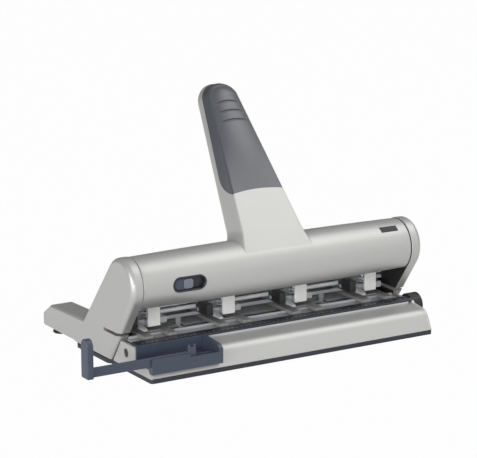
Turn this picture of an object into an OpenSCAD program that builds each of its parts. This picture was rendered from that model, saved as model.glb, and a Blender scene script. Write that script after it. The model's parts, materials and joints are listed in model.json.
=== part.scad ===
// Adjustable four-hole punch: a tubular lever over four punch heads that slide on rods.
// X runs along the machine, +Y to its back and +Z up. The origin lies on the underside of
// the base pan, straight below the lever's axis and halfway along it.

/* [Frame] */
// Distance between the inner faces of the two cheeks
span = 294.6; // [292:0.2:330]
// Thickness of each cheek
cheek_t = 11.7; // [9:0.1:16]
// Radius of the cheek's round top
cheek_r = 25.8; // [24:0.1:30]
// Rounding of the cheek's outer edge
cheek_round = 4.5; // [1:0.1:6]
// Height of the lever's axis
axis_z = 80; // [78:0.5:90]
// Length of the rear tails behind the lever's axis
tail_back = 157; // [130:1:190]
// Width of each tail
tail_w = 25; // [18:0.5:26]
// Height of the tail's top at its root
tail_top = 32; // [28:0.5:38]
// Height of a rubber foot under a tail
foot_h = 6; // [5:0.5:9]
// Radius of a rubber foot
foot_r = 8; // [5:0.5:10]

/* [Base] */
// Thickness of the base pan
pan_t = 4; // [3:0.1:5]
// Reach of the base pan in front of the lever's axis
pan_front = 51; // [49:0.5:58]
// Reach of the base pan behind the lever's axis
pan_back = 93; // [90:0.5:105]
// Reach of the front bar in front of the lever's axis
bar_front = 50; // [48:0.5:54]
// Reach of the front bar beyond the inner face of each cheek
bar_over = 7.2; // [5:0.1:9]
// Thickness of the bar's end plates
end_plate_t = 3; // [2:0.1:4]
// Wall of the front bar
bar_wall = 2.2; // [1.2:0.1:3]
// Height of the bar's front crease
crease_z = 21.5; // [18:0.1:22]
// Setback of the crease from the bar's front foot
crease_in = 9; // [4:0.1:11]
// Height of the table's underside
table_z = 24.4; // [24.2:0.1:27]
// Thickness of the table plate
table_t = 2; // [1.5:0.1:2.2]
// Thickness of the ruler strip
ruler_t = 2.4; // [1.5:0.1:3]
// Depth of the ruler strip
ruler_w = 12; // [9:0.1:12.2]

/* [Lever] */
// Radius of the lever tube at its ends
tube_r_end = 25.2; // [24.5:0.1:28]
// Radius of the lever tube at its middle
tube_r_mid = 26.8; // [25:0.1:30]
// Inner radius of the lever tube
tube_r_in = 22.2; // [21:0.1:23]
// Front lip of the tube, in degrees below the axis
tube_lip = 54; // [40:1:60]
// Rear edge of the tube, in degrees above the axis
tube_rear = 35; // [33:1:60]
// Thickness of the webs inside the tube
web_t = 4; // [2.5:0.1:5]
// Radius of the pivot shaft
shaft_r = 5; // [4:0.1:5.5]
// Distance of the lock's centre from the tube's left end
lock_in = 47.3; // [30:0.1:60]
// Radius of the presser rod
presser_r = 3; // [2:0.1:3.5]
// Height of the presser rod above the lever's axis at rest
presser_rise = 5.5; // [4:0.1:6.5]

/* [Handle] */
// Lean of the handle to the back at rest
handle_lean = 36.5; // [25:0.5:45]
// Length of the handle from the lever's axis to its tip
handle_len = 184; // [150:1:220]
// Half width of the handle at the lever's axis
handle_half_root = 36.5; // [28:0.5:44]
// Half width of the handle at the centre of its round end
handle_half_tip = 18; // [14:0.5:24]
// Thickness of the handle at its tip
handle_t_tip = 15.5; // [12:0.5:18]
// Thickness of the handle at the tube
handle_t_root = 27; // [20:0.5:27]
// Narrowing of the handle's front at the lever's axis, on each side
handle_draft_root = 1.2; // [0:0.1:4]
// Narrowing of the handle's front at its round end, on each side
handle_draft_tip = 4.5; // [1:0.1:6]
// Start of the grip along the handle
grip_from = 66; // [50:1:100]
// Thickness of the grip over the handle's core
grip_t = 2.5; // [1.5:0.1:4]
// Thickness of the casting that shows behind the grip
shell_t = 4.5; // [3:0.1:6]
// Rise of the grip's lower edge in the middle
grip_arch = 3; // [1:0.1:6]

/* [Punch heads] */
// Number of punch heads
heads = 4; // [4:1:4]
// Distance from one hole to the next
pitch = 80; // [80:0.5:84]
// Half width of a head
head_half = 17; // [15:0.5:17.5]
// Radius of a punch pin
pin_r = 3; // [2.5:0.1:3.2]
// Distance of the pins behind the lever's axis
pin_y = 19; // [18.5:0.1:20]
// Thickness of a die plate
die_t = 4; // [3:0.1:4.2]
// Height of the paper throat
throat_h = 4.5; // [4:0.1:6]
// Wire radius of a return spring
wire_r = 0.55; // [0.3:0.05:0.6]
// Mean coil radius of a return spring
coil_r = 4.5; // [4.4:0.05:4.8]
// Number of turns of a return spring
coil_turns = 6; // [4:1:8]
// Width of the white index plate on a head
plate_w = 13; // [10:0.5:16]
// Height of the index plate
plate_h = 18.4; // [12:0.1:20]
// Radius of the front guide rod
rod_front_r = 2; // [1.5:0.1:2.1]
// Radius of the rear guide rod
rod_rear_r = 4; // [3:0.1:4.3]

/* [Side guide] */
// Reach of the side guide beyond the bar's end
guide_out = 66; // [45:0.5:70]
// Height of the side guide's bar
guide_h = 8.6; // [6:0.1:9]
// Length of the side guide's bar
guide_len = 106.5; // [90:0.5:112]
// Thickness of the side guide's bar
guide_t = 3.6; // [2.5:0.1:4]
// Height of the guide's upright tab
tab_h = 36; // [28:0.5:44]
// Width of the tab along Y
tab_w = 13; // [9:0.5:15]
// Thickness of the tab along X
tab_t = 6; // [4:0.5:8]
// Length of the guide's housing
housing_len = 73.5; // [55:0.5:90]

/* [Depth stop] */
// Radius of the depth knob
knob_r = 11.4; // [8:0.1:12]
// Length of the depth knob
knob_len = 13.5; // [8:0.1:18]
// Height of the depth shaft
depth_z = 17.5; // [17.3:0.1:17.6]
// Distance of the depth shaft in front of the lever's axis
depth_y = 3.6; // [2:0.1:4.5]
// Distance from the holes to the depth stop at rest
margin = 12; // [11:0.1:13]
// Teeth of a depth pinion
pinion_teeth = 8; // [8:1:8]
// Module of the pinion and its rack
gear_module = 0.8; // [0.75:0.01:0.8]

/* [Chip drawer] */
// Half width of the chip drawer
drawer_half = 131; // [110:1:132]
// Height of the chip drawer's walls
drawer_h = 15.6; // [10:0.1:15.8]
// Wall of the chip drawer
drawer_wall = 2; // [1:0.1:3]

/* [Clearances] */
// Running clearance between sliding faces
run = 0.3; // [0.2:0.05:0.4]
// Radial clearance of a turning or sliding fit
fit = 0.12; // [0.05:0.01:0.2]
// Radial clearance of a fixed pin in its hole
seat = 0.05; // [0.02:0.01:0.1]

/* [Hidden] */
$fn = 96;
far = 400;

// Frame lines
half_span = span / 2;
cheek_out = half_span + cheek_t;
lever_half = half_span - 0.5;
bar_half = half_span + bar_over;
axis = [0, axis_z];

// Levels of the base
table_top = table_z + table_t;
die_bottom = table_top + 0.6;
die_top = die_bottom + die_t;
throat_top = die_top + throat_h;
block_h = 5.5;
block_top = throat_top + block_h;
spring_seat = block_top - 3;
drawer_z = pan_t + run;

// Lines along Y
ruler_y = -21;
front_rail_y = 6;
front_rail_w = 3;
front_rail_top = die_top - 2;
die_front = ruler_y + ruler_w + 0.4;
block_front = pin_y - 7;
plate_y = 5;
plate_t = 2.5;
back_front = 38;
back_back = 48;
table_back = 70;
slot_end = pin_y + margin;

// Rods and rail
rail_t = 2;
rail_h = 7.5;
rail_y = 27.2;
rod_front = [rail_y + 1.2, block_top + 0.3];
rod_rear = [(back_front + back_back) / 2, block_top + 4];
rail_z = rod_front[1] + rod_front_r + 2;

// Pivot of a head's clamp lever
clamp_pivot = [22, block_top - 1.5];
clamp_pin_r = 2;

// Upper guide of a pin and the pin's own lengths
spring_room = 17.5;
arm_z = block_top + spring_room;
arm_t = 4;
collar_t = 2;
collar_top = arm_z - 0.5;
cap_t = 3.5;
cap_r = 6;
contact_gap = 0.25;
pin_top = axis_z + presser_rise - presser_r - contact_gap;
pin_bottom = throat_top + 0.5;
presser = [pin_y, axis_z + presser_rise];

// Cheek outline: round top, rear slope, foot and front slope, each corner a centre and a radius
foot_round = 3;
slope_round = 6;
slope_foot = 72;
tail_start = 52;
tail_bend = 17;
cheek_front = 22;
cheek_discs = [
    [0, axis_z, cheek_r],
    [slope_foot - slope_round, tail_top - slope_round + 3, slope_round],
    [pan_back - foot_round, pan_t + foot_round, foot_round],
    [cheek_front + foot_round, pan_t + foot_round, foot_round]
];
tail_discs = [
    [tail_start, tail_top - foot_round, foot_round],
    [tail_start, foot_h + foot_round, foot_round],
    [tail_back - tail_bend, tail_top - foot_round - 2.5, foot_round],
    [tail_back - foot_round, foot_h + foot_round + 8, foot_round],
    [tail_back - foot_round, foot_h + foot_round, foot_round]
];
tail_root = 76;
foot_in = 14;
panel_rise = 50;
panel_t = 2.6;
panel_start = 1.5;
panel_in = 3.5;
ledge_w = 4.3;
ledge_t = 4;
ledge_front = 30;
screw_y = [34, 80];
screw_r = 2;
screw_head_r = 3.2;
screw_head_t = 1.6;
screw_sink = 0.4;
screw_len = 11.5;
pan_lap = 10;
pan_in = 2;
pan_corner = 6;

// Handle in its own frame: u along X, v to the back, w along the handle
handle_front_root = -tube_r_mid;
handle_front_tip = -22.5;
tip_w = handle_len - handle_half_tip;
groove_r = 1.2;
grip_round = 14;
function handle_front(w) = handle_front_root + (handle_front_tip - handle_front_root) * w / handle_len;

// Place of the punch heads
function head_x(i) = (i - (heads + 1) / 2) * pitch;

// Point where the line from p touches a circle; side is 1 or -1
function touch(p, c, r, side) =
    let (d = p - c, a = atan2(d[1], d[0]) + side * acos(r / norm(d)))
    c + r * [cos(a), sin(a)];

// Points of a rounded corner b between a and c, starting at distance r from b
function corner(a, b, c, r, n = 6) =
    let (p = b + r * (a - b) / norm(a - b), q = b + r * (c - b) / norm(c - b))
    [for (k = [0:n]) let (t = k / n) (1 - t) * (1 - t) * p + 2 * t * (1 - t) * b + t * t * q];

// Path moved sideways by t, to the right of its direction
function beside(path, t) = [
    for (k = [0:len(path) - 1])
        let (
            d = path[min(k + 1, len(path) - 1)] - path[max(k - 1, 0)],
            m = d / norm(d)
        )
        path[k] + t * [m[1], -m[0]]
];
function backward(list) = [for (k = [len(list) - 1:-1:0]) list[k]];

// Outer line of the front bar, from its foot over the crease to the table's seat
bar_foot = [-bar_front, pan_t];
bar_crease = [-bar_front + crease_in, crease_z];
bar_top = [ruler_y, table_z];
bar_seat = [ruler_y + 5, table_z];
bar_line = concat([bar_foot], corner(bar_foot, bar_crease, bar_top, 6), [bar_top]);

// Front edge of a cheek, the line that its end plate follows
edge_low = [cheek_front, pan_t];
edge_high = touch(edge_low, axis, cheek_r, -1);
function edge_y(z) =
    edge_low[0] + (z - edge_low[1]) * (edge_high[0] - edge_low[0]) / (edge_high[1] - edge_low[1]);

// Rear slope of the cheeks, the line that the rear panel follows
slope_low = [slope_foot, tail_top + 3 - slope_round];
slope_high = touch(slope_low, axis, cheek_r, 1);
slope_dir = (slope_high - slope_low) / norm(slope_high - slope_low);

// Side guide
guide_gap = run;
guide_y = -bar_front - 1;
guide_z = 15.8;
tab_x = -bar_half - guide_out;
housing_x = -bar_half;
housing_wall = 1.9;
housing_low = 9;
housing_end = 4;
housing_round = 7;
trough_back = ruler_y - 0.3;
trough_low = 12.5;
window_len = 30;
latch_len = 7;
latch_h = 1.4;

// Depth stop, its rack and pinion
pinion_r = gear_module * pinion_teeth / 2;
rack_pitch = PI * gear_module;
rack_line = depth_z + pinion_r;
arm_low = rack_line + 1.1 * gear_module;
arm_high = table_z - run;
arm_half = 2.5;
stop_t = 2.5;
stop_low = die_top + 0.6;
stop_h = throat_h - 1.3;
stop_half = half_span - 5;
journal_r = 4;
depth_shaft_r = 2;

// Lever lock
lock_x = -lever_half + lock_in;
lock_len = 35;
lock_h = 14.6;
lock_rim = 1.8;
lock_floor = 5;
lock_travel = 11;
bolt_r = 2.2;
bolt_y = -14;
bolt_lug = 6;

// Solid that runs along X from x0 to x1 with a cross-section drawn in Y and Z
module along_x(x0, x1) {
    translate([x0, 0, 0]) rotate([90, 0, 90]) linear_extrude(x1 - x0) children();
}

module block(x0, x1, y0, y1, z0, z1) {
    translate([x0, y0, z0]) cube([x1 - x0, y1 - y0, z1 - z0]);
}

module rod(x0, x1, at, r) {
    translate([x0, at[0], at[1]]) rotate([0, 90, 0]) cylinder(h = x1 - x0, r = r);
}

// Plate with round corners
module round_plate(x0, x1, y0, y1, z0, z1, r) {
    block(x0 + r, x1 - r, y0, y1, z0, z1);
    block(x0, x1, y0 + r, y1 - r, z0, z1);
    for (x = [x0 + r, x1 - r], y = [y0 + r, y1 - r])
        translate([x, y, z0]) cylinder(h = z1 - z0, r = r);
}

// Prism round a set of discs, with its edge rounded at x_out
module soft_prism(discs, x_in, x_out, round) {
    bend = 0.4;
    turn = x_out > x_in ? 90 : -90;
    depth = abs(x_out - x_in);
    hull()
        for (d = discs) {
            step = min(round, d[2] * 0.8);
            translate([x_in, d[0], d[1]]) rotate([0, turn, 0]) {
                cylinder(h = depth - round, r = d[2], $fn = 32);
                cylinder(h = depth - bend * round, r = d[2] - 0.2 * step, $fn = 32);
                cylinder(h = depth, r = d[2] - step, $fn = 32);
            }
        }
}

// Base

module base_pan() {
    color([0.2, 0.22, 0.26]) difference() {
        union() {
            round_plate(-bar_half, bar_half, -pan_front, cheek_front + pan_lap, 0, pan_t, pan_corner / 2);
            round_plate(-cheek_out + pan_in, cheek_out - pan_in, cheek_front + pan_in, pan_back, 0, pan_t, pan_corner);
        }
        for (x = [-1, 1], y = screw_y)
            translate([x * (half_span + cheek_t / 2), y, 0]) {
                translate([0, 0, -1]) cylinder(h = pan_t + 2, r = screw_r + fit);
                translate([0, 0, -1]) cylinder(h = 1 + screw_sink + screw_head_t, r = screw_head_r + fit);
            }
    }
}

module pan_screws() {
    color("dimgray")
        for (x = [-1, 1], y = screw_y)
            translate([x * (half_span + cheek_t / 2), y, 0]) {
                translate([0, 0, screw_sink]) {
                    cylinder(h = screw_head_t, r = screw_head_r);
                    cylinder(h = screw_len, r = screw_r);
                }
            }
}

module cheek() {
    difference() {
        union() {
            soft_prism(cheek_discs, -half_span, -cheek_out, cheek_round);
            difference() {
                soft_prism(tail_discs, -cheek_out + tail_w, -cheek_out, 2.5);
                block(-half_span, 0, 0, tail_root, 0, far);
            }
            block(-half_span - 1, -half_span + ledge_w, ledge_front, table_back, table_z - ledge_t, table_z);
        }
        block(-far, -half_span + 1, -far, slot_end, die_top + 0.4, throat_top - 1);
        rod(-half_span - 6, -half_span + 1, axis, shaft_r + seat);
        rod(-half_span - 4, -half_span + 1, rod_front, rod_front_r + seat);
        rod(-half_span - 4, -half_span + 1, rod_rear, rod_rear_r + seat);
        for (y = screw_y)
            translate([-half_span - cheek_t / 2, y, 0]) cylinder(h = screw_sink + screw_len + run, r = screw_r + seat);
    }
}

module cheek_left() { color("silver") cheek(); }
module cheek_right() { color("silver") mirror([1, 0, 0]) cheek(); }

module rear_feet() {
    color([0.1, 0.1, 0.1])
        for (x = [-1, 1])
            translate([x * (cheek_out - tail_w / 2), tail_back - foot_in, 0])
                rotate_extrude()
                    polygon([[0, 0], [foot_r - 1, 0], [foot_r, 1], [foot_r - 1.5, foot_h], [0, foot_h]]);
}

module front_bar() {
    line = concat(bar_line, [bar_seat]);
    color("silver") difference() {
        along_x(-bar_half + end_plate_t, bar_half - end_plate_t)
            polygon(concat(line, backward(beside(line, bar_wall))));
        block(-far, far, -far, far, -far, pan_t);
        guide_notch();
    }
}

// Cut in the bar's left end that takes the side guide's housing
module guide_notch() {
    block(-far, housing_x + housing_len + run, -far, trough_back, trough_low, far);
}

module end_plate(x0) {
    difference() {
        along_x(x0, x0 + end_plate_t)
            polygon(concat(bar_line, [
                [ruler_y + 2, table_top],
                [edge_y(table_top) - run, table_top],
                [edge_low[0] - run, pan_t]
            ]));
        rod(x0 - 1, x0 + end_plate_t + 1, [-depth_y, depth_z], journal_r + fit);
    }
}

module end_plate_left() {
    color("gainsboro") difference() {
        end_plate(-bar_half);
        guide_notch();
    }
}

module end_plate_right() { color("gainsboro") end_plate(bar_half - end_plate_t); }

module table_plate() {
    color([0.3, 0.3, 0.32]) difference() {
        block(-half_span + run, half_span - run, ruler_y, table_back, table_z, table_top);
        block(-half_span + 6, half_span - 6, pin_y - 6, pin_y + 6, 0, far);
        for (x = [-pitch, pitch])
            block(x - arm_half - 1, x + arm_half + 1, pin_y, slot_end + 9, 0, far);
    }
}

module ruler_strip() {
    color([0.16, 0.19, 0.25]) along_x(-bar_half + end_plate_t, bar_half - end_plate_t)
        polygon([
            [ruler_y, table_top],
            [ruler_y + ruler_w, table_top],
            [ruler_y + ruler_w, table_top + ruler_t],
            [ruler_y + 1.5, table_top + ruler_t],
            [ruler_y, table_top + ruler_t - 1]
        ]);
}

module front_rail() {
    color([0.75, 0.76, 0.78])
        block(-half_span + 1, half_span - 1, front_rail_y, front_rail_y + front_rail_w,
              table_top, front_rail_top);
}

module rear_panel() {
    low = slope_low + slope_dir * panel_start - [panel_in, 0];
    color("silver") along_x(-half_span + run, half_span - run)
        polygon([
            [low[0], table_top],
            low,
            low + slope_dir * panel_rise,
            low + slope_dir * panel_rise - [panel_t, 0],
            low - [panel_t, 0],
            [low[0] - panel_t, table_top]
        ]);
}

// Rods, rail and shaft

module guide_rod_front() {
    color([0.85, 0.86, 0.88]) rod(-half_span - 3.8, half_span + 3.8, rod_front, rod_front_r);
}

module guide_rod_rear() {
    color([0.85, 0.86, 0.88]) rod(-half_span - 3.8, half_span + 3.8, rod_rear, rod_rear_r);
}

module index_rail() {
    notch = 2;
    color([0.85, 0.86, 0.88]) difference() {
        block(-half_span, half_span, rail_y, rail_y + rail_t, rail_z, rail_z + rail_h);
        for (i = [1:heads], k = [-2:2])
            translate([head_x(i) - head_half - 3.5 + k * 4, rail_y - 1, rail_z + rail_h])
                rotate([-90, 0, 0]) cylinder(h = rail_t + 2, r = notch / 2);
    }
}

module pivot_shaft() {
    color([0.7, 0.71, 0.73]) rod(-half_span - 5.8, half_span + 5.8, axis, shaft_r);
}

module shaft_rings() {
    color([0.8, 0.8, 0.82])
        for (s = [-1, 1])
            difference() {
                rod(s * (lever_half - 5.5) - 0.6, s * (lever_half - 5.5) + 0.6, axis, shaft_r + 3);
                rod(-far, far, axis, shaft_r + seat);
            }
}

// Lever

function tube_r(x) = tube_r_mid - (tube_r_mid - tube_r_end) * pow(x / lever_half, 2);

module tube_body() {
    steps = 12;
    translate([0, 0, axis_z]) rotate([0, 90, 0])
        rotate_extrude()
            polygon(concat(
                [[0, -lever_half]],
                [for (k = [-steps:steps]) let (x = lever_half * k / steps) [tube_r(x), x]],
                [[0, lever_half]]
            ));
}

module handle_frame() {
    translate([0, 0, axis_z]) rotate([-handle_lean, 0, 0]) children();
}

// Corners of the handle's front view in the plane v, from the left side round to the right
function handle_corners(half_root, half_tip, v) =
    let (taper = asin((half_root - half_tip) / tip_w), x = half_tip * cos(taper), w = tip_w + half_tip * sin(taper))
    [[-half_root, v, 0], [half_root, v, 0], [x, v, w], [-x, v, w]];

// Handle as the overlap of its side view and its front view, whose sides draw in to the front
module handle_form(inset) {
    v_front = handle_front_root + inset;
    v_back = handle_front_root + handle_t_root - inset;
    v_tip_front = handle_front_tip + inset;
    v_tip_back = handle_front_tip + handle_t_tip - inset;
    w_end = handle_len - inset;
    half_root = handle_half_root - inset;
    half_tip = handle_half_tip - inset;
    tip_corner = (handle_t_tip - 2 * inset) * 0.45;
    front = handle_corners(half_root - handle_draft_root, half_tip - handle_draft_tip, v_front);
    back = handle_corners(half_root, half_tip, v_back);
    intersection() {
        along_x(-far, far)
            polygon(concat(
                [[v_front, 0]],
                corner([v_front, 0], [v_tip_front, w_end], [v_tip_back, w_end], tip_corner),
                corner([v_tip_front, w_end], [v_tip_back, w_end], [v_back, 0], tip_corner),
                [[v_back, 0]]
            ));
        union() {
            translate([0, v_front, tip_w]) rotate([-90, 0, 0])
                cylinder(h = v_back - v_front, r1 = half_tip - handle_draft_tip, r2 = half_tip);
            polyhedron(
                points = concat(front, back),
                faces = [
                    [3, 2, 1, 0], [4, 5, 6, 7], [0, 1, 5, 4], [1, 2, 6, 5], [2, 3, 7, 6], [3, 0, 4, 7]
                ]
            );
        }
    }
}

// Space of the grip: in front of the casting's shell, above an edge that rises in the middle
module grip_zone() {
    v_back = handle_front_root + handle_t_root;
    v_tip_back = handle_front_tip + handle_t_tip;
    function shell_v(w) = v_back + (v_tip_back - v_back) * w / handle_len - shell_t;
    edge_r = (pow(handle_half_root, 2) + pow(grip_arch, 2)) / (2 * grip_arch);
    difference() {
        along_x(-far, far)
            polygon(concat(
                [[-far, grip_from]],
                corner([-far, grip_from], [shell_v(grip_from), grip_from], [shell_v(far), far], grip_round),
                [[shell_v(far), far], [-far, far]]
            ));
        translate([0, 0, grip_from + grip_arch - edge_r]) rotate([90, 0, 0])
            cylinder(h = 2 * far, r = edge_r, center = true);
    }
}

module lock_oval(len, h, y0, y1) {
    z = axis_z;
    r = h / 2;
    block(lock_x - len / 2 + r, lock_x + len / 2 - r, y0, y1, z - r, z + r);
    for (s = [-1, 1])
        translate([lock_x + s * (len / 2 - r), y0, z]) rotate([-90, 0, 0]) cylinder(h = y1 - y0, r = r);
}

module lever_casting() {
    color("silver") difference() {
        union() {
            difference() {
                tube_body();
                rod(-far, far, axis, tube_r_in);
                along_x(-far, far)
                    translate(axis) polygon(concat(
                        [[0, 0]],
                        [for (k = [0:4])
                            let (a = 180 + tube_lip + k * (180 - tube_lip + tube_rear) / 4)
                            2 * tube_r_mid * [cos(a), sin(a)]]
                    ));
            }
            for (x = [-pitch, 0, pitch])
                rod(x - web_t / 2, x + web_t / 2, axis, tube_r_in + 0.1);
            for (s = [-1, 1])
                rod(s * (lever_half - web_t / 2) - web_t / 2, s * (lever_half - web_t / 2) + web_t / 2,
                    axis, tube_r_in + 0.1);
            difference() {
                handle_frame() {
                    difference() {
                        handle_form(0);
                        grip_zone();
                    }
                    handle_form(grip_t);
                }
                rod(-far, far, axis, tube_r_in);
            }
        }
        rod(-far, far, axis, shaft_r + 2 + seat);
        rod(-far, far, presser, presser_r + seat);
        lock_oval(lock_len + 2 * seat, lock_h + 2 * seat, -far, 0);
        rod(-far, lock_x, [bolt_y, axis_z], bolt_r + fit);
    }
}

module lever_bushes() {
    color([0.72, 0.6, 0.35])
        for (x = [-lever_half + web_t / 2, -pitch, 0, pitch, lever_half - web_t / 2])
            difference() {
                rod(x - web_t / 2, x + web_t / 2, axis, shaft_r + 2);
                rod(-far, far, axis, shaft_r + fit);
            }
}

module presser_rod() {
    color([0.7, 0.71, 0.73]) rod(-lever_half + 0.5, lever_half - 0.5, presser, presser_r);
}

module handle_grip() {
    color([0.24, 0.25, 0.28]) handle_frame() difference() {
        intersection() {
            handle_form(0);
            translate([0, -seat, seat]) grip_zone();
        }
        handle_form(grip_t - seat);
        for (k = [0:2]) {
            w = handle_len - 26 - 9 * k;
            rod(-far, far, [handle_front(w), w], groove_r);
        }
    }
}

// Lever lock

module lock_bezel() {
    color([0.15, 0.18, 0.23]) intersection() {
        difference() {
            lock_oval(lock_len, lock_h, -far, -tube_r_in + lock_floor);
            lock_oval(lock_len - 2 * lock_rim, lock_h - 2 * lock_rim, -far, -tube_r_in);
            block(lock_x - lock_len / 2 + 4, lock_x + lock_len / 2 - 4, -far, 0, axis_z - 2, axis_z + 2);
        }
        rod(-far, far, axis, tube_r_mid + 0.3);
    }
}

module lock_slide() {
    h = lock_h - 2 * lock_rim - 2 * run;
    x0 = lock_x - lock_len / 2 + lock_rim + run;
    x1 = x0 + lock_len - 2 * lock_rim - 2 * run - lock_travel - 0.2;
    z0 = axis_z - h / 2;
    color([0.32, 0.36, 0.44]) {
        block(x0 + h / 2, x1 - h / 2, -tube_r_in - 2, -tube_r_in - run, z0, z0 + h);
        for (x = [x0 + h / 2, x1 - h / 2])
            translate([x, -tube_r_in - run, axis_z]) rotate([90, 0, 0]) cylinder(h = 2 - run, r = h / 2);
        block(x1 - h / 2 - 3, x1 - h / 2, -tube_r_in - 4, -tube_r_in - 1.9, z0, z0 + h);
        block(x0 + bolt_lug, x0 + bolt_lug + 3, -tube_r_in - 1, bolt_y, axis_z - 2 + run, axis_z + 2 - run);
    }
}

module lock_bolt() {
    x0 = lock_x - lock_len / 2 + lock_rim + run;
    color([0.7, 0.71, 0.73]) rod(-lever_half + 0.5, x0 + bolt_lug, [bolt_y, axis_z], bolt_r);
}

// Punch heads

module at_head(i) { translate([head_x(i), 0, 0]) children(); }

module head_body(i) {
    boss_half = plate_w / 2;
    boss_wall = 3;
    arm_front = -6;
    arm_w = 4;
    post_half = 7;
    post_front = 32;
    post_back = back_front;
    color([0.6, 0.61, 0.63]) at_head(i) difference() {
        union() {
            block(-head_half, head_half, block_front, back_front + 1, throat_top, block_top);
            block(-head_half, head_half, back_front, back_back, die_top, rod_rear[1] + rod_rear_r + 2);
            block(-boss_half, boss_half, plate_y + plate_t, block_front + 1, throat_top, block_top);
            block(-boss_half, boss_half, rod_front[0] - boss_wall, rod_front[0] + boss_wall, block_top - 1,
                  rail_z - 0.4);
            along_x(-head_half, -head_half + arm_w)
                polygon([
                    [arm_front, throat_top], [arm_front, throat_top + 1.5], [block_front + 0.5, block_top],
                    [block_front + 0.5, throat_top]
                ]);
            block(-post_half, post_half, post_front, post_back, block_top - 1, arm_z + arm_t);
            block(-post_half, post_half, pin_y - 5, post_back, arm_z, arm_z + arm_t);
            rod(-head_half - 7.2, -head_half + 1, clamp_pivot, clamp_pin_r);
        }
        translate([0, pin_y, 0]) {
            cylinder(h = far, r = pin_r + fit);
            translate([0, 0, spring_seat]) cylinder(h = block_top, r = coil_r + wire_r + run);
        }
        rod(-far, far, rod_front, rod_front_r + fit);
        rod(-far, far, rod_rear, rod_rear_r + fit);
    }
}

module die_plate(i) {
    fork_half = 8;
    color([0.72, 0.73, 0.74]) at_head(i) difference() {
        block(-head_half, head_half, die_front, back_back, die_bottom, die_top);
        block(-fork_half, fork_half, die_front - 1, front_rail_y + 2, 0, far);
        block(-far, far, front_rail_y - run, front_rail_y + front_rail_w + run, 0, front_rail_top + run);
        translate([0, pin_y, 0]) cylinder(h = far, r = pin_r + fit);
    }
}

module index_plate(i) {
    color("white") at_head(i)
        block(-plate_w / 2, plate_w / 2, plate_y, plate_y + plate_t, throat_top, throat_top + plate_h);
}

module punch_pin(i) {
    color([0.8, 0.81, 0.83]) at_head(i) translate([0, pin_y, 0]) {
        translate([0, 0, pin_bottom]) cylinder(h = pin_top - pin_bottom, r = pin_r);
        translate([0, 0, pin_top - cap_t]) cylinder(h = cap_t, r = cap_r);
        translate([0, 0, collar_top - collar_t]) cylinder(h = collar_t, r = coil_r + wire_r);
    }
}

// Return spring: a helix with a flat half turn at each end, as one closed tube

coil_rings = 8;
coil_sides = 6;
coil_low = spring_seat + wire_r + 0.05;
coil_high = collar_top - collar_t - wire_r - 0.05;
coil_count = coil_rings * coil_turns;
function coil_rise(t) = min(max((t - 0.5) / (coil_turns - 1), 0), 1);
function coil_point(k) =
    let (t = k / coil_rings)
    [coil_r * cos(360 * t), coil_r * sin(360 * t), coil_low + (coil_high - coil_low) * coil_rise(t)];
coil_points = [for (k = [0:coil_count]) coil_point(k)];
coil_skin = [
    for (k = [0:coil_count], s = [0:coil_sides - 1])
        let (a = 360 * k / coil_rings, b = 360 * s / coil_sides)
        coil_points[k] + wire_r * [cos(a) * cos(b), sin(a) * cos(b), sin(b)]
];
coil_faces = concat(
    [for (k = [0:coil_count - 1], s = [0:coil_sides - 1])
        let (a = k * coil_sides + s, b = k * coil_sides + (s + 1) % coil_sides)
        [a, b, b + coil_sides]],
    [for (k = [0:coil_count - 1], s = [0:coil_sides - 1])
        let (a = k * coil_sides + s, b = k * coil_sides + (s + 1) % coil_sides)
        [a, b + coil_sides, a + coil_sides]],
    [for (s = [1:coil_sides - 2]) [0, s + 1, s]],
    [for (s = [1:coil_sides - 2]) [for (k = [0, s, s + 1]) coil_count * coil_sides + k]]
);
coil_gap = min([
    for (k = [0:coil_count], m = [k + coil_rings - 2:1:coil_count])
        norm(coil_points[k] - coil_points[m]) - 2 * wire_r
]);
echo(spring_gap = coil_gap);

module return_spring(i) {
    color([0.82, 0.83, 0.85]) at_head(i) translate([0, pin_y, 0])
        polyhedron(points = coil_skin, faces = coil_faces);
}

module clamp_lever(i) {
    x0 = -head_half - 7;
    x1 = -head_half - run;
    low = throat_top + 1;
    color([0.1, 0.1, 0.11]) at_head(i) difference() {
        union() {
            block(x0, x1, plate_y, clamp_pivot[0] - 2, low, block_top + 6.5);
            block(x0, x1, clamp_pivot[0] - 6, clamp_pivot[0] + 3.5, low, block_top + 3);
        }
        rod(-far, far, clamp_pivot, clamp_pin_r + fit);
    }
}

// Side guide

module guide_housing() {
    x0 = housing_x;
    x1 = housing_x + housing_len;
    wall_front = guide_y - guide_gap - housing_wall;
    bar_back = guide_y + guide_t + guide_gap;
    bar_low = guide_z - guide_gap;
    top = guide_z + guide_h;
    low = trough_low + run;
    rear = trough_back - run;
    rear_top = table_z + 4;
    color([0.22, 0.26, 0.33]) difference() {
        union() {
            block(x0, x1, wall_front, guide_y - guide_gap, housing_low, top - 1);
            block(x0, x1, wall_front, rear, low, bar_low);
            block(x0, x1, bar_back, bar_back + housing_wall, low, guide_z + guide_h / 2);
            block(x0, x1, rear - housing_wall, rear, low, rear_top);
            difference() {
                block(x0, x1, wall_front, bar_crease[0], housing_low, low + 0.1);
                along_x(-far, far) polygon(concat(bar_line, [[0, table_z], [0, pan_t]]));
            }
            along_x(x1 - housing_end, x1)
                polygon(concat(
                    [[wall_front, low]],
                    corner([wall_front, low], [wall_front, top + 1.6], [rear, rear_top], housing_round),
                    [[rear, rear_top], [rear, low]]
                ));
        }
        block(x1 - window_len - housing_end, x1 - housing_end, -far, guide_y, guide_z + guide_h / 2, far);
    }
}

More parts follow.
